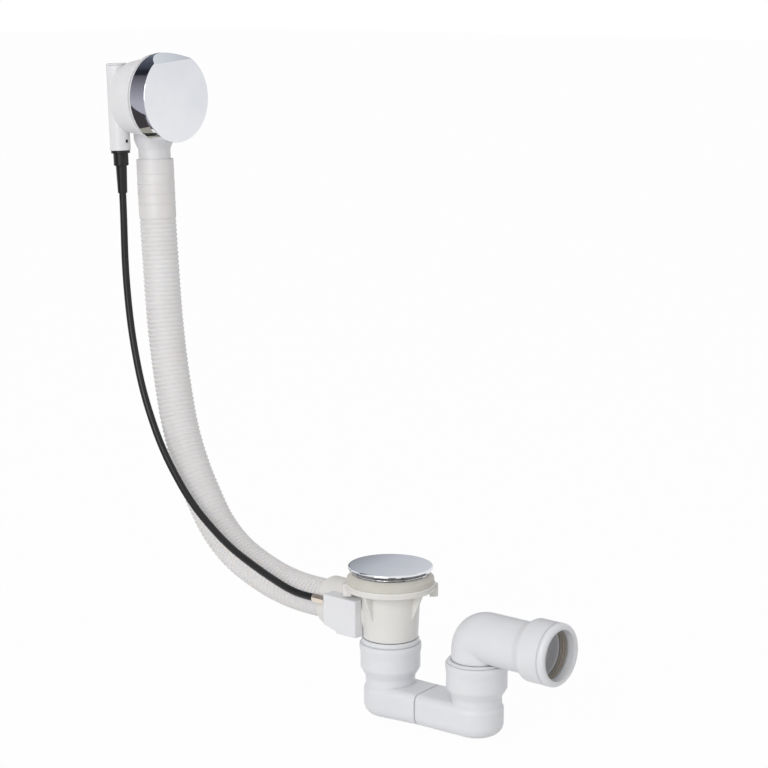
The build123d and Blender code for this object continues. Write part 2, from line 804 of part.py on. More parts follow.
def spindle_seal():
    front = wall_back - seat_gap
    inner = spindle_radius + shaft_gap
    start = front - spindle_seal_thick
    return turned_back((start, inner), (start, sleeve_radius), (front, sleeve_radius), (front, inner))


def overflow_flange():
    front = wall_front - flange_disc_thick
    disc = turned_back((front, 0), (front, flange_disc_radius - edge), (front + edge, flange_disc_radius),
                       (wall_front - seat_gap, flange_disc_radius), (wall_front - seat_gap, 0))
    hole = lengthwise(sleeve_radius + 2 * seat_gap, -wall_front - over, -front + over)
    slot = Pos(flange_slot_place, 0) * SlotOverall(flange_slot_length, flange_slot_width)
    slot = extrude(Plane.YZ * slot, wall_front + over)
    slots = [Rot(360 / flange_slot_count * k, 0, 0) * Pos(-wall_front - over, 0, 0) * slot
             for k in range(flange_slot_count)]
    screw_hole = lengthwise(overflow_screw_radius + seat_gap, -wall_front - over, -front + over)
    screw_holes = [Pos(0, 0, side * overflow_screw_pitch) * screw_hole for side in (-1, 1)]
    return disc - hole - slots - screw_holes


def overflow_screw():
    head_back = wall_front - flange_disc_thick - seat_gap
    head_front = head_back - overflow_screw_top
    head = turned_back((head_front, 0), (head_front, overflow_screw_head - edge),
                       (head_front + edge, overflow_screw_head), (head_back, overflow_screw_head),
                       (head_back, 0))
    shank = lengthwise(overflow_screw_radius, -head_back - overflow_screw_length, -head_back)
    slot = block(-head_front - overflow_screw_slot, -head_front + over, -overflow_screw_head,
                 overflow_screw_head,
                 -overflow_screw_slot / 2, overflow_screw_slot / 2)
    return head + shank - slot


def overflow_screws():
    return Compound([Pos(0, 0, side * overflow_screw_pitch) * overflow_screw() for side in (-1, 1)])


def overflow_seal():
    inner = bowl_front_radius - 3 * bowl_wall
    outer = overflow_flange_radius - edge
    back = wall_back - seat_gap
    return turned_back((wall_front, inner), (wall_front, outer), (back, outer), (back, inner))


def bowl(inset):
    """The round bowl behind the wall, moved inwards by the inset."""
    end = bowl_end - inset
    outline = make_face(Polyline((-bowl_start + over, 0), (-bowl_start + over, bowl_front_radius - inset),
                                 (-end, bowl_back_radius - inset), (-end, 0), close=True))
    corner = outline.vertices().sort_by_distance((-end, bowl_back_radius - inset, 0))[0]
    return revolve(fillet(corner, bowl_round), Axis.X)


def spigot(inset):
    """The downward elbow that the hose is pushed on, moved inwards by the inset."""
    wide = spigot_radius + spigot_flare - inset
    narrow = spigot_radius - inset
    crown_z = -spigot_radius - spigot_flare
    low = -spigot_drop - spigot_insert - inset
    stem = turned((0, crown_z), (wide, crown_z), (wide, -spigot_flare_top, blend),
                  (narrow, -spigot_flare_low, blend), (narrow, low), (0, low))
    return Pos(-spigot_depth, spigot_side, 0) * (stem + Pos(0, 0, crown_z) * Sphere(wide))


def overflow_elbow():
    rim = turned_back((wall_back, 0), (wall_back, overflow_flange_radius),
                      (bowl_start - edge, overflow_flange_radius),
                      (bowl_start, overflow_flange_radius - edge), (bowl_start, 0))
    chamber = lengthwise(chamber_inner + chamber_wall, -chamber_end, -bowl_end + bowl_wall)
    tube = upright(rack_tube_radius, -rack_tube_bottom, rack_tube_top, -rack_tube_depth, rack_axis_y)
    mouth = lengthwise(bowl_front_radius - bowl_wall, -bowl_start - over, -wall_back + over)
    cavity = bowl(bowl_wall) + mouth
    sleeve = lengthwise(sleeve_radius, -bowl_end, -wall_back)
    screw_end = wall_front - flange_disc_thick + overflow_screw_length
    boss_end = screw_end + overflow_boss_wall
    boss = lengthwise(overflow_screw_radius + overflow_boss_wall, -boss_end, -wall_back,
                      z=overflow_screw_pitch)
    boss += block(-boss_end, -wall_back, -overflow_rib / 2, overflow_rib / 2, overflow_screw_pitch,
                  bowl_front_radius - bowl_wall / 2)
    boss_trim = bowl(0) + rim
    bosses = [Rot(180 * k, 0, 0) * (boss & boss_trim) for k in range(2)]
    shell = rim + bowl(0) + chamber + tube + spigot(0)
    shell = shell - cavity - spigot(spigot_wall) + sleeve + bosses
    shaft_bore = lengthwise(spindle_radius + shaft_gap, -pinion_front, -wall_back + over)
    gear_bore = lengthwise(chamber_inner, -chamber_end - over, -pinion_front + edge)
    rack_bore = upright(rack_rod_radius + slide_gap, -rack_tube_bottom - over, rack_tube_top + over,
                        -rack_tube_depth,
                        rack_axis_y)
    window_z = -rack_tube_bottom + window_height
    window = block(-rack_tube_depth, -rack_tube_depth + rack_tube_radius + over,
                   rack_axis_y - window_size / 2,
                   rack_axis_y + window_size / 2, window_z - window_size / 2, window_z + window_size / 2)
    cap_room = upright(rack_tube_radius + seat_gap, rack_tube_top,
                       rack_tube_top + tube_cap_thick + 2 * seat_gap,
                       -rack_tube_depth, rack_axis_y)
    screw = lengthwise(overflow_screw_radius + seat_gap / 2, -screw_end - seat_gap, -wall_back + over)
    screws = [Pos(0, 0, side * overflow_screw_pitch) * screw for side in (-1, 1)]
    return shell - shaft_bore - gear_bore - rack_bore - window - cap_room - screws


def gear_cover():
    front = chamber_end + seat_gap
    back = front + gear_cover_thick
    outer = chamber_inner + chamber_wall
    disc = turned_back((front, 0), (front, outer), (back - edge, outer), (back, outer - edge), (back, 0))
    bore = lengthwise(spindle_journal + shaft_gap, -front - gear_cover_thick * 0.75, -front + over)
    return disc - bore


def tube_cap():
    low = rack_tube_top + seat_gap
    plug = rack_rod_radius + slide_gap - seat_gap
    foot = low - tube_cap_plug
    top = low + tube_cap_thick
    cap = turned((0, foot), (plug, foot), (plug, low), (rack_tube_radius, low),
                 (rack_tube_radius, top - edge),
                 (rack_tube_radius - edge, top), (0, top))
    return Pos(-rack_tube_depth, rack_axis_y, 0) * cap


def rack():
    rod = upright(rack_rod_radius, -rack_length / 2, rack_length / 2)
    root_y = -pitch_radius - 1.2 * gear_module - rack_axis_y
    tip_y = -pitch_radius + rack_addendum * gear_module - rack_axis_y
    rod -= block(-rack_rod_radius, rack_rod_radius, root_y, rack_rod_radius, -rack_length, rack_length)
    lean = tan(radians(pressure_angle))
    half = (pi * gear_module / 2 - gear_backlash / 2) / 2
    root_half = half + 1.2 * gear_module * lean
    tip_half = half - rack_addendum * gear_module * lean
    tooth = make_face(Polyline((root_y - edge, -root_half), (root_y, -root_half), (tip_y, -tip_half),
                               (tip_y, tip_half),
                               (root_y, root_half), (root_y - edge, root_half), close=True))
    tooth = extrude(Plane.YZ * tooth, pinion_face / 2, both=True)
    count = int((rack_length / 2 - root_half) / (pi * gear_module))
    teeth = [Pos(0, 0, pi * gear_module * k) * tooth for k in range(-count, count + 1)]
    stub = upright(wire_radius, -sheath_top - stub_reach, -rack_length / 2)
    return Pos(-rack_tube_depth, rack_axis_y, 0) * (rod + teeth + stub)


# Trap with its push-fit sockets
def socket_outside():
    top = socket_top_z
    bead = socket_outer + bead_proud
    bead_low = top - bead_height
    return turned((0, top), (bead, top, soft), (bead, bead_low, blend),
                  (socket_outer, bead_low - bead_fade, blend),
                  (socket_outer, neck_top_z + socket_taper, blend / 2),
                  (trap_neck_radius, neck_top_z + soft, blend), (trap_neck_radius, neck_top_z),
                  (0, neck_top_z))


def socket_inside():
    top = socket_top_z
    seal_low = top - collar_tongue - seal_height - 2 * seat_gap
    stop = top - socket_depth
    neck = trap_neck_radius - trap_wall
    return turned((0, top + over), (socket_inner + seal_width, top + over),
                  (socket_inner + seal_width, seal_low),
                  (socket_inner, seal_low), (socket_inner, stop), (neck, stop - edge),
                  (neck, neck_top_z - over),
                  (0, neck_top_z - over))


def socket_seal():
    top = socket_top_z - collar_tongue - seat_gap
    low = top - seal_height
    inner = pipe_radius + shaft_gap
    outer = socket_inner + seal_width - seat_gap
    return turned((inner + edge, low), (outer, low), (outer, top), (inner + edge, top),
                  (inner, top - seal_height / 3),
                  (inner, low + seal_height / 3))


def socket_collar(height):
    low = socket_top_z + seat_gap
    top = low + height
    tongue = socket_inner + seal_width - seat_gap
    foot = low - collar_tongue
    return turned((socket_inner, foot), (tongue, foot), (tongue, low), (collar_outer, low),
                  (collar_outer, top, soft), (socket_inner, top))


def trap_pan(centre, seam, inset):
    """The flat oblong bend between a round end and the seam, moved inwards by the inset."""
    end = Pos(centre, 0) * Circle(trap_pan_radius - inset)
    half = trap_tube_half - inset
    plan = make_hull(end.edges() + [Edge.make_line((seam, -half), (seam, half))])
    low = trap_bottom_z + inset
    high = trap_top_z - inset
    pan = Pos(0, 0, low) * extrude(plan, high - low)
    for face, radius in ((pan.faces().sort_by(Axis.Z)[0], trap_bottom_round),
                         (pan.faces().sort_by(Axis.Z)[-1], trap_top_round)):
        level = face.center().Z
        rim = [e for e in pan.edges() if abs(e.center().Z - level) < seat_gap]
        rim = [e for e in rim if abs(e.center().X - seam) > seat_gap]
        pan = fillet(rim, radius - inset)
    return pan + upright(trap_neck_radius - inset, (low + high) / 2, neck_top_z, centre)


def trap_inlet():
    outside = trap_pan(0, trap_seam, 0) + socket_outside()
    return trap_place * (outside - trap_pan(0, trap_sleeve_end, trap_wall) - socket_inside())


def trap_outlet():
    seam = trap_seam + trap_seam_gap
    shift = Pos(trap_reach, 0, -riser_drop)
    outside = trap_pan(trap_reach, seam, 0) + shift * socket_outside()
    sleeve_inset = trap_wall + seat_gap
    sleeve = trap_pan(0, trap_sleeve_end, sleeve_inset)
    sleeve &= block(trap_seam - trap_sleeve, trap_sleeve_end, -trap_reach, trap_reach, trap_bottom_z,
                    trap_top_z)
    sleeve_bore = trap_pan(0, trap_sleeve_end + over, sleeve_inset + trap_wall * 0.7)
    hollow = trap_pan(trap_reach, trap_sleeve_end, trap_wall) + shift * socket_inside()
    return trap_place * (outside - hollow + sleeve - sleeve_bore)


# Outlet elbow, modelled with the riser's axis as its own Z axis
def elbow_bend(radius, low, reach):
    """An upright pipe that bends over to +X, with a tight rounded heel."""
    start = outlet_axis_z - outlet_bend
    heel = Circle(radius) & Pos(outlet_bend - 2 * radius, 0) * Rectangle(4 * radius, 4 * radius)
    heel = revolve(Pos(0, 0, start) * heel, Axis((outlet_bend, 0, start), (0, 1, 0)), 90)
    return heel + upright(radius, low, start) + lengthwise(radius, outlet_bend, reach, z=outlet_axis_z)


def outlet_elbow():
    seat = outlet_mouth - outlet_collar_length
    start = outlet_mouth - outlet_coupling_length
    shoulder = start + outlet_shoulder
    coupling = turned_out((start - blend, 0), (start - blend, outlet_pipe_radius),
                          (start, outlet_pipe_radius, blend), (shoulder, outlet_coupling_radius, blend),
                          (seat, outlet_coupling_radius), (seat, 0))
    seal_end = seat - outlet_collar_tongue - outlet_seal_length - 2 * seat_gap
    stop = shoulder - outlet_stop
    recess = turned_out((stop, 0), (stop, socket_inner), (seal_end, socket_inner),
                        (seal_end, socket_inner + seal_width), (seat + over, socket_inner + seal_width),
                        (seat + over, 0))
    spigot_bar = upright(pipe_radius, spigot_end_z, elbow_seat_z)
    outside = elbow_bend(outlet_pipe_radius, elbow_seat_z, start)
    outside -= upright(collar_outer + 2 * swivel_gap, elbow_seat_z - 2 * outlet_relief, elbow_seat_z)
    outside += spigot_bar + Pos(0, 0, outlet_axis_z) * coupling
    bore = elbow_bend(pipe_radius - pipe_wall, spigot_end_z - over, stop + over)
    return riser * (outside - bore - Pos(0, 0, outlet_axis_z) * recess)


def outlet_seal():
    end = outlet_mouth - outlet_collar_length - outlet_collar_tongue - seat_gap
    start = end - outlet_seal_length
    outer = socket_inner + seal_width - seat_gap
    root = socket_inner + edge
    lip = outlet_seal_length / outlet_seal_lips
    profile = [(start, root), (start, outer), (end, outer), (end, root)]
    for k in range(outlet_seal_lips):
        profile += [(end - (k + 0.5) * lip, socket_inner), (end - (k + 1) * lip, root)]
    return riser * Pos(0, 0, outlet_axis_z) * turned_out(*profile[:-1])


def outlet_collar():
    start = outlet_mouth - outlet_collar_length + seat_gap
    tongue = socket_inner + seal_width - seat_gap
    outer = outlet_coupling_radius + seat_gap
    foot = start - outlet_collar_tongue
    ring = turned_out((foot, socket_inner), (foot, tongue), (start, tongue),
                      (start, outer), (outlet_mouth, outer), (outlet_mouth, socket_inner))
    rim = [e for e in ring.edges().filter_by(GeomType.CIRCLE) if e.center().X > outlet_mouth - seat_gap]
    ring = fillet(max(rim, key=lambda e: e.radius), outlet_collar_round)
    return riser * Pos(0, 0, outlet_axis_z) * ring


head_pieces = [overflow_elbow, gear_cover, tube_cap, overflow_seal, overflow_flange, overflow_screws,
               spindle,
               spindle_seal, rack, knob_insert, knob_cap]
placed_pieces = [cable_fitting, cable_sheath, inner_wire, cable_ferrule, overflow_hose, hose_seal,
                 waste_body, lever_box,
                 crank_arm, lift_finger, crank_seal, cable_slider, plug_cap, plug_seal, plug_stem,
                 lift_screw,
                 stem_lock_nut, waste_flange, bath_seal, trap_inlet, trap_outlet, outlet_elbow, outlet_seal,
                 outlet_collar]
nodes = {piece.__name__: head_place * piece() for piece in head_pieces}
nodes.update({piece.__name__: piece() for piece in placed_pieces})
nodes["trap_inlet_seal"] = socket_seal()
nodes["trap_inlet_collar"] = socket_collar(collar_height)
nodes["riser_seal"] = riser * socket_seal()
nodes["riser_collar"] = riser * socket_collar(riser_collar_height)

os.makedirs("parts", exist_ok=True)
for name, solid in nodes.items():
    export_step(solid, f"parts/{name}.step")
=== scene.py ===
import bpy
from math import atan2, cos, pi, radians, sin
from mathutils import Matrix, Vector


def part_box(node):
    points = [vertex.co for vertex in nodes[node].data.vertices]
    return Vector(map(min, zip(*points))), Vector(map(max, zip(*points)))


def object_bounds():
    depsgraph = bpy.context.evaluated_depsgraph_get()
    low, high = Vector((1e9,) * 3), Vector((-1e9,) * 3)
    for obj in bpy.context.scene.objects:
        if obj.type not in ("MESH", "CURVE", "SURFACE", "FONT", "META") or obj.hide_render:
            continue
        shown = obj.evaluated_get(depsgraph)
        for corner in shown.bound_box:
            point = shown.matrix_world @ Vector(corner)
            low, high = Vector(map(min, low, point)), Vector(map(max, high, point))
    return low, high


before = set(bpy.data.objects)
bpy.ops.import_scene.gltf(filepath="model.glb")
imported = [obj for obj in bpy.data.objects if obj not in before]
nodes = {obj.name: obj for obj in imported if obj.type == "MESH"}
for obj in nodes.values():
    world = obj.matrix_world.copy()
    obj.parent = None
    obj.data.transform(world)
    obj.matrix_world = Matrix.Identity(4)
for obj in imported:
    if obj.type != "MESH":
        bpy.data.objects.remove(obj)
cad_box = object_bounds()

# The camera's place, in metres, and its view, in degrees and pixels of a 768 pixel wide picture
camera_place = Vector((1.09831, -1.31721, 0.48432))
camera_turn = 40.0
camera_pitch = 10.837
camera_pixels = 2180.2
picture_width = 768

# How strongly the studio lights the part, and how white its surroundings look
room_light = 0.60
key_power = 27.0
key_size = 1.6
key_distance = 2.6
key_turn = -75.0
key_rise = 20.0
light_aim = Vector((-0.06, 0.0, 0.12))
floor_white = 0.97
floor_grey = 0.86
floor_gap = 0.003
floor_size = 30.0

# How far the painted crease shade in the plastic reaches, in metres, and the share of the colour that this
# painted shade leaves in the creases
crease_shade_reach = 0.002
crease_shade_share = 0.55


# Colours
def linear(value):
    """A screen value, 0 to 255, as the amount of light it stands for."""
    value = value / 255
    return value / 12.92 if value <= 0.04045 else ((value + 0.055) / 1.055) ** 2.4


def srgb(r, g, b):
    return (linear(r), linear(g), linear(b), 1.0)


chrome_colour = srgb(229, 231, 235)


def seen_in_chrome(r, g, b):
    """The light that chrome turns into this colour."""
    wanted = srgb(r, g, b)
    return tuple(wanted[k] / chrome_colour[k] for k in range(3)) + (1.0,)


# Material helpers
def new_material(name):
    material = bpy.data.materials.new(name)
    material.use_nodes = True
    tree = material.node_tree
    return material, tree, tree.nodes["Principled BSDF"]


def noise(tree, scale, detail=3.0):
    """A noise texture that sits on the piece, with its scale per metre."""
    place = tree.nodes.new("ShaderNodeTexCoord")
    texture = tree.nodes.new("ShaderNodeTexNoise")
    texture.inputs["Scale"].default_value = scale
    texture.inputs["Detail"].default_value = detail
    tree.links.new(place.outputs["Object"], texture.inputs["Vector"])
    return texture.outputs["Fac"]


def ramp(tree, source, stops):
    """A colour ramp over a source value, from (place, colour) stops."""
    node = tree.nodes.new("ShaderNodeValToRGB")
    band = node.color_ramp
    while len(band.elements) < len(stops):
        band.elements.new(1.0)
    for element, (place, colour) in zip(band.elements, stops):
        element.position = place
        element.color = colour
    tree.links.new(source, node.inputs["Fac"])
    return node.outputs["Color"]


def spread(tree, source, low, high):
    """A noise value drawn out over a range."""
    node = tree.nodes.new("ShaderNodeMapRange")
    node.inputs["From Min"].default_value = 0.3
    node.inputs["From Max"].default_value = 0.7
    node.inputs["To Min"].default_value = low
    node.inputs["To Max"].default_value = high
    tree.links.new(source, node.inputs["Value"])
    return node.outputs["Result"]


def soft_edges(tree, radius, height=None, depth=0.0):
    """Edges rounded by a small radius, with an optional fine grain on top."""
    bevel = tree.nodes.new("ShaderNodeBevel")
    bevel.samples = 8
    bevel.inputs["Radius"].default_value = radius
    if height is None:
        return bevel.outputs["Normal"]
    bump = tree.nodes.new("ShaderNodeBump")
    bump.inputs["Strength"].default_value = 0.3
    bump.inputs["Distance"].default_value = depth
    tree.links.new(height, bump.inputs["Height"])
    tree.links.new(bevel.outputs["Normal"], bump.inputs["Normal"])
    return bump.outputs["Normal"]


def painted_crease_shade(tree, colour):
    """The colour, with shade painted into creases and narrow gaps: darker where ambient occlusion finds close
    surfaces.
    """
    crease = tree.nodes.new("ShaderNodeAmbientOcclusion")
    crease.samples = 8
    crease.inputs["Distance"].default_value = crease_shade_reach
    deepest = (crease_shade_share, crease_shade_share, crease_shade_share, 1)
    shade = ramp(tree, crease.outputs["AO"], [(0.1, deepest), (0.6, (1, 1, 1, 1))])
    mix = tree.nodes.new("ShaderNodeMix")
    mix.data_type = "RGBA"
    mix.blend_type = "MULTIPLY"
    mix.inputs["Factor"].default_value = 1.0
    tree.links.new(colour, mix.inputs["A"])
    tree.links.new(shade, mix.inputs["B"])
    return mix.outputs["Result"]


def plastic(name, light, dark, rough, edge, glow=0.0, bend=1.5, grain=0.00003):
    """Moulded plastic: a slow drift of colour, painted shade in its creases, a fine grain, uneven gloss and a
    little light let in.
    """
    material, tree, shader = new_material(name)
    drift = ramp(tree, noise(tree, 28.0, 4.0), [(0.32, dark), (0.68, light)])
    # Painted shade: the drifting colour is darkened in creases and gaps before it becomes the base colour
    tree.links.new(painted_crease_shade(tree, drift), shader.inputs["Base Color"])
    tree.links.new(spread(tree, noise(tree, 160.0), rough - 0.06, rough + 0.06), shader.inputs["Roughness"])
    tree.links.new(soft_edges(tree, edge, noise(tree, 1400.0, 2.0), grain), shader.inputs["Normal"])
    shader.inputs["IOR"].default_value = bend
    shader.inputs["Subsurface Weight"].default_value = glow
    shader.inputs["Subsurface Radius"].default_value = (0.006, 0.005, 0.004)
    shader.inputs["Subsurface Scale"].default_value = 0.6
    return material


def metal(name, colour, dull, rough, uneven, edge):
    """Plated metal: a faint haze and an uneven polish."""
    material, tree, shader = new_material(name)
    haze = ramp(tree, noise(tree, 40.0, 5.0), [(0.3, dull), (0.7, colour)])
    tree.links.new(haze, shader.inputs["Base Color"])
    tree.links.new(spread(tree, noise(tree, 220.0), rough, rough + uneven), shader.inputs["Roughness"])
    tree.links.new(soft_edges(tree, edge), shader.inputs["Normal"])
    shader.inputs["Metallic"].default_value = 1.0
    return material


def rubber(name, light, dark, rough, edge):
    """Matt rubber: a mottled colour and a grain."""
    material, tree, shader = new_material(name)
    mottle = ramp(tree, noise(tree, 60.0, 5.0), [(0.3, dark), (0.7, light)])
    tree.links.new(mottle, shader.inputs["Base Color"])
    tree.links.new(spread(tree, noise(tree, 300.0), rough - 0.08, rough + 0.08), shader.inputs["Roughness"])
    tree.links.new(soft_edges(tree, edge, noise(tree, 900.0, 3.0), 0.00006), shader.inputs["Normal"])
    return material


# Materials and the pieces that wear them
materials = {
    "chrome": metal("chrome", chrome_colour, srgb(224, 226, 231), 0.03, 0.03, 0.0004),
    "knob_chrome": metal("knob_chrome", chrome_colour, srgb(224, 226, 231), 0.03, 0.03, 0.0009),
    "overflow_white": plastic("overflow_white", srgb(232, 231, 233), srgb(227, 226, 228), 0.38, 0.0008, 0.15),
    "body_white": plastic("body_white", srgb(233, 231, 228), srgb(228, 226, 222), 0.36, 0.0012, 0.25),
    "box_white": plastic("box_white", srgb(234, 234, 236), srgb(230, 230, 233), 0.36, 0.0006, 0.12),
    "trap_white": plastic("trap_white", srgb(230, 231, 234), srgb(226, 227, 230), 0.40, 0.0030, 0.15),
    "hose_white": plastic("hose_white", srgb(232, 230, 230), srgb(227, 224, 223), 0.34, 0.0004, 0.35),
    "inner_white": plastic("inner_white", srgb(226, 226, 222), srgb(220, 220, 216), 0.42, 0.0004, 0.1),
    "black_plastic": plastic("black_plastic", srgb(26, 25, 28), srgb(20, 19, 22), 0.30, 0.0004, 0.0, 1.38),
    "nickel": metal("nickel", srgb(238, 226, 212), srgb(222, 208, 192), 0.12, 0.08, 0.0003),
    "steel": metal("steel", srgb(205, 206, 208), srgb(185, 186, 189), 0.22, 0.10, 0.0002),
    "brass": metal("brass", srgb(214, 184, 118), srgb(196, 165, 98), 0.22, 0.12, 0.0003),
    "cream_rubber": rubber("cream_rubber", srgb(214, 211, 203), srgb(206, 203, 193), 0.55, 0.0008),
    "pale_rubber": rubber("pale_rubber", srgb(222, 222, 224), srgb(214, 214, 216), 0.55, 0.0004),
    "grey_rubber": rubber("grey_rubber", srgb(176, 168, 158), srgb(164, 156, 146), 0.5, 0.0003),
    "dark_rubber": rubber("dark_rubber", srgb(52, 52, 55), srgb(38, 38, 41), 0.6, 0.0003),
}
looks = {
    "knob_chrome": ["knob_cap"],
    "chrome": ["plug_cap", "waste_flange", "overflow_flange"],
    "overflow_white": ["overflow_elbow", "gear_cover", "tube_cap"],
    "body_white": ["waste_body"],
    "box_white": ["lever_box"],
    "trap_white": ["trap_inlet", "trap_inlet_collar", "trap_outlet", "riser_collar", "outlet_elbow",
                   "outlet_collar"],
    "hose_white": ["overflow_hose"],
    "inner_white": ["knob_insert", "rack", "cable_slider"],
    "black_plastic": ["cable_sheath", "cable_fitting"],
    "nickel": ["cable_ferrule"],
    "steel": ["inner_wire", "overflow_screws", "stem_lock_nut", "lift_screw"],
    "brass": ["spindle", "crank_arm", "lift_finger", "plug_stem"],
    "cream_rubber": ["bath_seal"],
    "pale_rubber": ["overflow_seal"],
    "grey_rubber": ["outlet_seal"],
    "dark_rubber": ["spindle_seal", "hose_seal", "crank_seal", "plug_seal", "trap_inlet_seal", "riser_seal"],
}
for look, group in looks.items():
    for node in group:
        mesh = nodes[node].data
        mesh.materials.clear()
        mesh.materials.append(materials[look])


# Studio pieces
def stage_piece(name, points, faces):
    mesh = bpy.data.meshes.new(name)
    mesh.from_pydata(points, [], faces)
    piece = bpy.data.objects.new(name, mesh)
    bpy.context.scene.collection.objects.link(piece)
    return piece


def strip_faces(steps):
    """The faces of a strip whose points come in pairs."""
    return [(2 * k, 2 * k + 1, 2 * k + 3, 2 * k + 2) for k in range(steps)]


def in_reflections_only(piece):
    piece.visible_camera = False
    piece.visible_diffuse = False
    piece.visible_transmission = False
    piece.visible_volume_scatter = False
    piece.visible_shadow = False


def plane(name, centre, toward, width, height):
    """A flat card that faces a point."""
    w, h = width / 2, height / 2
    piece = stage_piece(name, [(-w, -h, 0), (w, -h, 0), (w, h, 0), (-w, h, 0)], [(0, 1, 2, 3)])
    piece.location = centre
    piece.rotation_euler = (Vector(toward) - Vector(centre)).to_track_quat("Z", "Y").to_euler()
    return piece


def glow_material(name, shade):
    """A shadeless surface; shade adds its nodes to the tree and returns the colour."""
    material = bpy.data.materials.new(name)
    material.use_nodes = True
    tree = material.node_tree
    tree.nodes.clear()
    out = tree.nodes.new("ShaderNodeOutputMaterial")
    light = tree.nodes.new("ShaderNodeEmission")
    tree.links.new(shade(tree), light.inputs["Color"])
    tree.links.new(light.outputs[0], out.inputs["Surface"])
    return material


def along(tree, origin, direction, length):
    """How far a point lies along a direction from an origin, 0 to 1 over a length."""
    place = tree.nodes.new("ShaderNodeNewGeometry")
    offset = tree.nodes.new("ShaderNodeVectorMath")
    offset.operation = "SUBTRACT"
    offset.inputs[1].default_value = origin
    tree.links.new(place.outputs["Position"], offset.inputs[0])
    dot = tree.nodes.new("ShaderNodeVectorMath")
    dot.operation = "DOT_PRODUCT"
    dot.inputs[1].default_value = Vector(direction).normalized()
    tree.links.new(offset.outputs["Vector"], dot.inputs[0])
    scaled = tree.nodes.new("ShaderNodeMapRange")
    scaled.inputs["From Min"].default_value = -length / 2
    scaled.inputs["From Max"].default_value = length / 2
    tree.links.new(dot.outputs["Value"], scaled.inputs["Value"])
    return scaled.outputs["Result"]


def mirror_ray(point, normal):
    """The way in which the camera's view of a mirroring point goes on."""
    normal = Vector(normal).normalized()
    back = (camera_place - point).normalized()
    return 2 * normal.dot(back) * normal - back


def glow_along(name, origin, direction, length, stops):
    """A glow shaded along a direction, with the colours that chrome shows of it."""
    colours = [(place, seen_in_chrome(*colour)) for place, colour in stops]
    return glow_material(name, lambda tree: ramp(tree, along(tree, origin, direction, length), colours))


def shaded_card(name, point, normal, distance, size, direction, length, stops):
    """A card that fills the mirror image in a chrome face, shaded along a direction."""
    centre = point + distance * mirror_ray(point, normal)
    card = plane(name, centre, point, size, size)
    card.data.materials.append(glow_along(name, centre, direction, length, stops))
    in_reflections_only(card)


def middle_of(name):
    """The middle of a piece's box."""
    corners = [nodes[name].matrix_world @ Vector(corner) for corner in nodes[name].bound_box]
    return sum(corners, Vector()) / len(corners)


def top_of(name):
    """The highest point of a piece's box."""
    corners = [nodes[name].matrix_world @ Vector(corner) for corner in nodes[name].bound_box]
    return max(corner.z for corner in corners)


knob = middle_of("knob_cap")
plug = middle_of("plug_cap")
plug.z = top_of("plug_cap")
picture_right = Vector((cos(radians(camera_turn)), sin(radians(camera_turn)), 0))

# Cards that the flat chrome faces mirror
shaded_card("plug_card", plug, (0, 0, 1), 0.9, 0.7, picture_right + Vector((0, 0, 0.5)), 0.30,
            [(0.1, (106, 109, 116)), (0.45, (178, 182, 191)), (0.9, (205, 207, 214))])
shaded_card("face_card", knob, (1, 0, 0.04), 1.0, 0.7, (0, 0.7, 0.8), 0.24,
            [(0.1, (240, 240, 243)), (0.5, (225, 227, 231)), (0.9, (213, 215, 221))])
facet_top = Vector((knob.x, knob.y, top_of("knob_cap")))
shaded_card("facet_card", facet_top, (0.445, 0, 0.896), 0.45, 0.3, (0, 1, -0.3), 0.12,
            [(0.1, (214, 219, 226)), (0.4, (188, 192, 199)), (0.7, (138, 142, 149))])
shaded_card("edge_card", facet_top, (0.80, 0, 0.60), 0.8, 0.34, (0, 1, 0), 0.2,
            [(0.1, (150, 154, 162)), (0.9, (96, 99, 106))])

# A ring of card round the knob's axis, far behind it, that its rim mirrors from top to bottom
rim_colours = [(84, (132, 138, 148)), (74, (112, 118, 130)), (62, (82, 88, 100)), (44, (60, 64, 76)),
               (38, (34, 36, 44)), (33, (36, 38, 45)), (30, (84, 82, 90)), (10, (138, 138, 150)),
               (-4, (166, 166, 178)), (-24, (170, 170, 182)), (-40, (66, 62, 66)), (-68, (150, 148, 136))]
ring_radius = 0.5
ring_start = 0.2
ring_depth = 0.4
ring_steps = 96


def rim_turn(angle):
    """The part of a full turn, from +Y over +Z, at which the rim mirrors the ring at an angle from -Y."""
    ray = mirror_ray(knob, (0, -cos(radians(angle)), sin(radians(angle))))
    return atan2(ray.z, ray.y) / (2 * pi) % 1.0


def ring_shade(tree):
    place = tree.nodes.new("ShaderNodeTexCoord")
    turn = tree.nodes.new("ShaderNodeTexGradient")
    turn.gradient_type = "RADIAL"
    tree.links.new(place.outputs["Object"], turn.inputs["Vector"])
    return ramp(tree, turn.outputs["Fac"],
                [(rim_turn(angle), seen_in_chrome(*colour)) for angle, colour in rim_colours])


first_turn = rim_turn(rim_colours[0][0])
last_turn = rim_turn(rim_colours[-1][0])
ring_points = []
for k in range(ring_steps + 1):
    angle = 2 * pi * (first_turn + (last_turn - first_turn) * k / ring_steps)
    for depth in (ring_start, ring_start + ring_depth):
        ring_points.append((-ring_radius * cos(angle), -ring_radius * sin(angle), -depth))
ring = stage_piece("rim_card", ring_points, strip_faces(ring_steps))
about_knob = Matrix(((0, 0, 1, 0), (-1, 0, 0, 0), (0, -1, 0, 0), (0, 0, 0, 1)))
ring.matrix_world = Matrix.Translation(knob) @ about_knob
ring.data.materials.append(glow_material("rim_card", ring_shade))
in_reflections_only(ring)

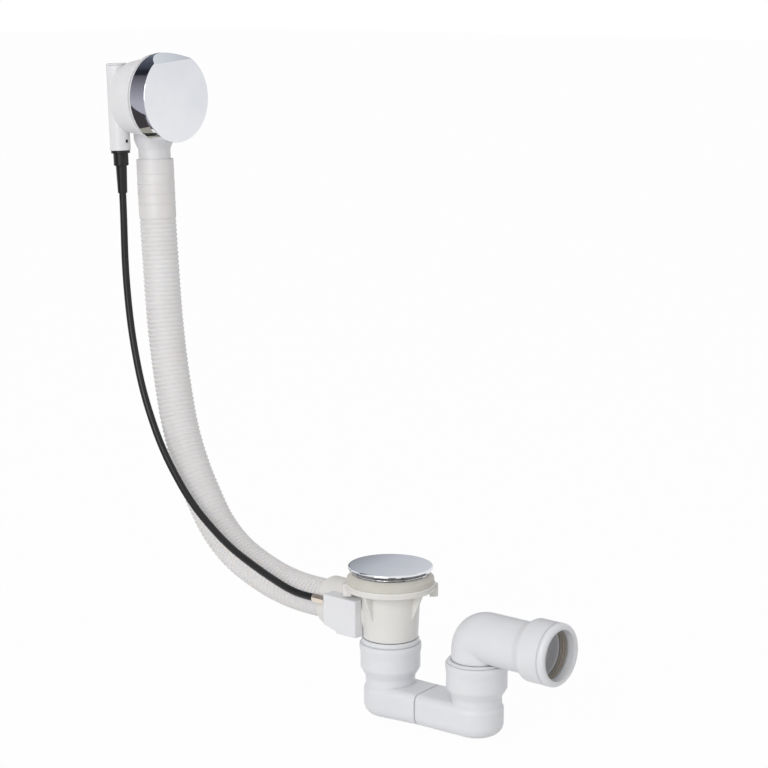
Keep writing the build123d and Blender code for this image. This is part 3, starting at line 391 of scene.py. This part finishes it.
# Small cards off the rim's lower left; each is given by its first and last angle at the back of the rim
# and at its front
rim_patches = [((5.0, -42.4), (-19.5, -36.8), (64, 60, 64)),
               ((-42.4, -54.0), (-36.8, -50.5), (160, 158, 149)),
               ((-54.0, -57.0), (-50.5, -53.5), (40, 40, 38)),
               ((-57.0, -67.0), (-53.5, -59.5), (154, 152, 140))]
patch_reach = 0.09
patch_fade = 0.96
patch_steps = 16
knob_low, knob_high = (Vector(corner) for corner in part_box("knob_cap"))
knob_radius = (knob_high.y - knob_low.y) / 2
knob_half = (knob_high.x - knob_low.x) / 2


def beside_rim(angle, depth):
    """The point that the rim mirrors, a little way off, at an angle and at a depth from the knob's middle."""
    normal = Vector((0, -cos(radians(angle)), sin(radians(angle))))
    spot = knob + Vector((depth, 0, 0)) + knob_radius * normal
    return spot + patch_reach * mirror_ray(spot, normal)


for number, (back, front, colour) in enumerate(rim_patches, 1):
    points = []
    for k in range(patch_steps + 1):
        for (first, last), depth in ((back, -knob_half), (front, knob_half)):
            points.append(beside_rim(first + (last - first) * k / patch_steps, depth))
    name = "rim_patch_%d" % number
    patch = stage_piece(name, points, strip_faces(patch_steps))
    faded = [c * patch_fade for c in colour]
    patch.data.materials.append(glow_along(name, knob, (0, 0, 1), 0.1, [(0.0, faded), (1.0, colour)]))
    in_reflections_only(patch)

# Black and grey flags round the waste, low down, that the side of the plug mirrors; each is given by its
# first and last angle, its inner and outer radius and its colour
flag_drop = 0.012
flag_fade = 0.9
flag_steps = 24
flag_arcs = [(-135, 45, 0.0385, 0.052, (28, 28, 32)), (-88, -14, 0.052, 0.088, (26, 26, 30)),
             (-14, 40, 0.052, 0.16, (120, 121, 126)), (-150, -88, 0.052, 0.16, (125, 126, 131)),
             (-54, -38, 0.088, 0.20, (28, 28, 32)), (-27, -15, 0.088, 0.20, (40, 40, 44))]
for number, (start, end, inner, outer, colour) in enumerate(flag_arcs, 1):
    points = []
    for k in range(flag_steps + 1):
        angle = radians(start + (end - start) * k / flag_steps)
        points += [(inner * cos(angle), inner * sin(angle), -flag_drop),
                   (outer * cos(angle), outer * sin(angle), -flag_drop)]
    name = "flag_%d" % number
    flag = stage_piece(name, points, strip_faces(flag_steps))
    faded = [c * flag_fade for c in colour]
    flag.data.materials.append(
        glow_along(name, (0, 0, 0), picture_right, 0.2, [(0.0, colour), (1.0, faded)]))
    in_reflections_only(flag)


# Floor and surroundings, white to the eye and in mirror images
def seen_directly(tree, *kinds):
    """1 for rays of the given kinds, otherwise 0."""
    path = tree.nodes.new("ShaderNodeLightPath")
    value = path.outputs[kinds[0]]
    for kind in kinds[1:]:
        most = tree.nodes.new("ShaderNodeMath")
        most.operation = "MAXIMUM"
        tree.links.new(value, most.inputs[0])
        tree.links.new(path.outputs[kind], most.inputs[1])
        value = most.outputs[0]
    return value


def mixed(tree, factor, first, second, out):
    mix = tree.nodes.new("ShaderNodeMixShader")
    tree.links.new(factor, mix.inputs["Fac"])
    tree.links.new(first.outputs[0], mix.inputs[1])
    tree.links.new(second.outputs[0], mix.inputs[2])
    tree.links.new(mix.outputs[0], out.inputs["Surface"])


def floor_material():
    material = bpy.data.materials.new("floor")
    material.use_nodes = True
    tree = material.node_tree
    tree.nodes.clear()
    diffuse = tree.nodes.new("ShaderNodeBsdfDiffuse")
    diffuse.inputs["Color"].default_value = (floor_grey, floor_grey, floor_grey, 1)
    white = tree.nodes.new("ShaderNodeEmission")
    white.inputs["Color"].default_value = (1, 1, 1, 1)
    part = tree.nodes.new("ShaderNodeMath")
    part.operation = "MULTIPLY"
    part.inputs[1].default_value = floor_white
    tree.links.new(seen_directly(tree, "Is Camera Ray", "Is Glossy Ray"), part.inputs[0])
    mixed(tree, part.outputs[0], diffuse, white, tree.nodes.new("ShaderNodeOutputMaterial"))
    return material


floor = plane("floor", (0, 0, cad_box[0][2] - floor_gap), (0, 0, 1), floor_size, floor_size)
floor.data.materials.append(floor_material())

world = bpy.data.worlds.new("studio")
bpy.context.scene.world = world
world.use_nodes = True
tree = world.node_tree
lit = tree.nodes["Background"]
lit.inputs["Color"].default_value = (1, 1, 1, 1)
lit.inputs["Strength"].default_value = room_light
seen = tree.nodes.new("ShaderNodeBackground")
seen.inputs["Color"].default_value = (1, 1, 1, 1)
seen.inputs["Strength"].default_value = 1.0
mixed(tree, seen_directly(tree, "Is Camera Ray", "Is Glossy Ray", "Is Transmission Ray"), lit, seen,
      tree.nodes["World Output"])

# Key light and camera
lamp = bpy.data.lights.new("key", "AREA")
lamp.shape = "DISK"
lamp.size = key_size
lamp.energy = key_power
key = bpy.data.objects.new("key", lamp)
bpy.context.scene.collection.objects.link(key)
key.location = light_aim + key_distance * Vector((cos(radians(key_turn)) * cos(radians(key_rise)),
                                                  sin(radians(key_turn)) * cos(radians(key_rise)),
                                                  sin(radians(key_rise))))
key.rotation_euler = (light_aim - key.location).to_track_quat("-Z", "Y").to_euler()
key.visible_camera = False

camera = bpy.data.cameras.new("camera")
camera.sensor_width = 36.0
camera.lens = camera_pixels / picture_width * camera.sensor_width
camera.clip_end = 100.0
view = bpy.data.objects.new("camera", camera)
bpy.context.scene.collection.objects.link(view)
view.location = camera_place
view.rotation_euler = (radians(90 - camera_pitch), 0, radians(camera_turn))
bpy.context.scene.camera = view
bpy.context.scene.view_settings.view_transform = "Standard"
